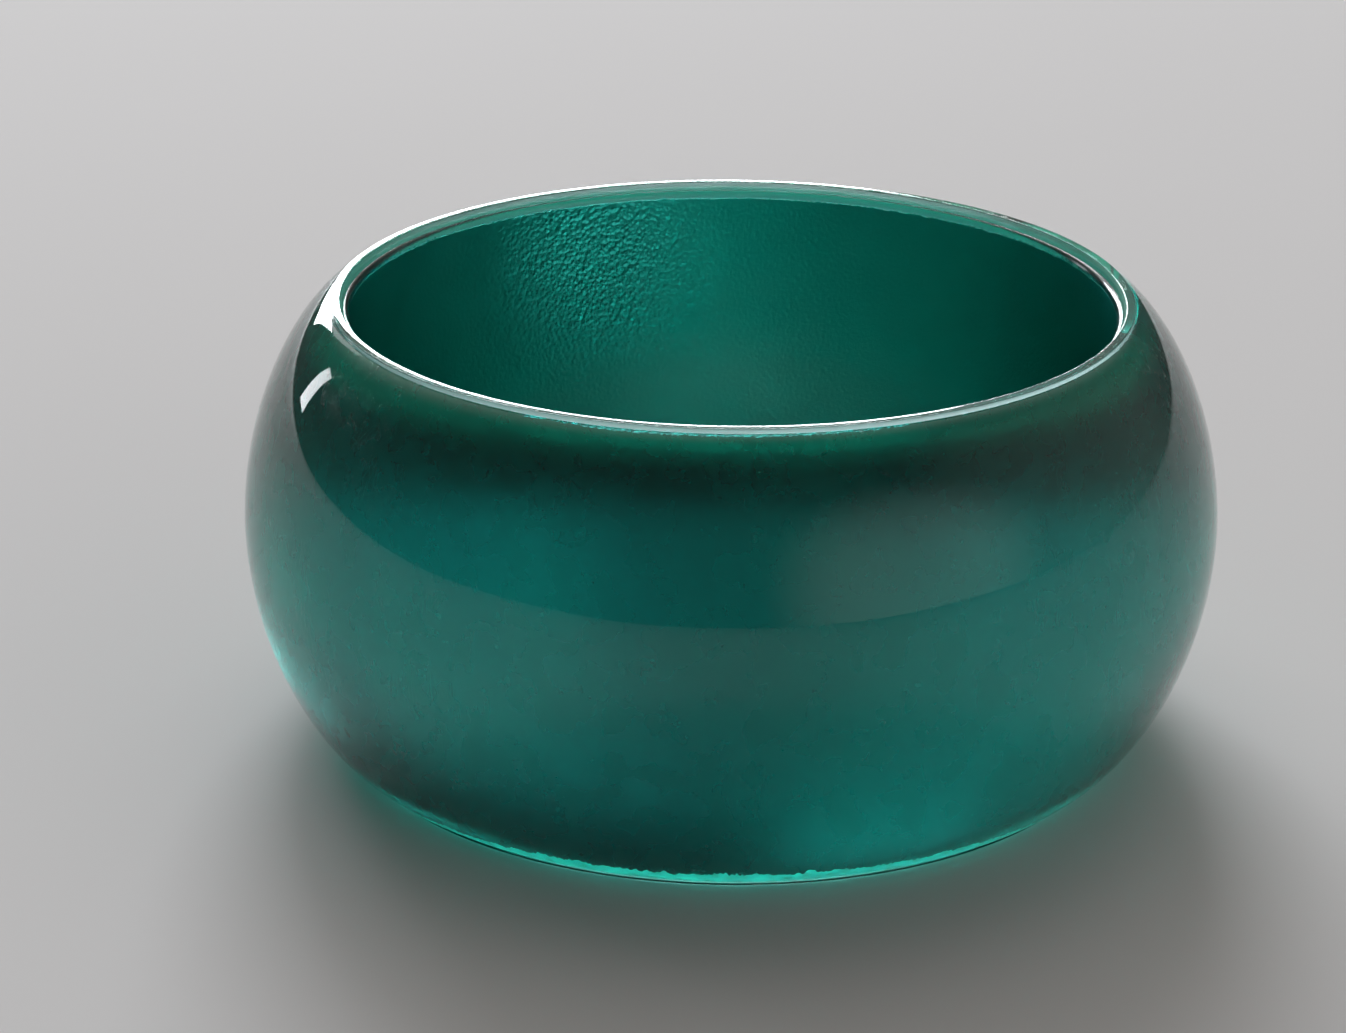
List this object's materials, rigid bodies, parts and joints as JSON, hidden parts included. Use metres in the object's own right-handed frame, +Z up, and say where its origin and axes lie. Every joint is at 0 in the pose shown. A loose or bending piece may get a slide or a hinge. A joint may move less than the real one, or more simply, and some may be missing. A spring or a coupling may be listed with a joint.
{
  "type": "bangle bracelet",
  "caption": "Wide domed slip-on bangle of clear tinted acrylic over a metallic lining, with a straight round bore and flat rims.",
  "frame": {"origin": "centre of the plane of the lower rim, which the bangle stands on", "axes": "+Z up along the axis of the bore, the way the hand passes; +X and +Y across, with nothing on the ring to tell them apart"},
  "size_m": [0.0852, 0.0852, 0.0395],
  "materials": {
    "tinted_acrylic": "polished, clear",
    "emerald_film": "satin metallic film",
    "satin_sleeve": "satin, clear"
  },
  "bodies": {
    "root": {"dome_ring": "tinted_acrylic", "foil_lining": "emerald_film", "inner_sleeve": "satin_sleeve"}
  },
  "joints": []
}
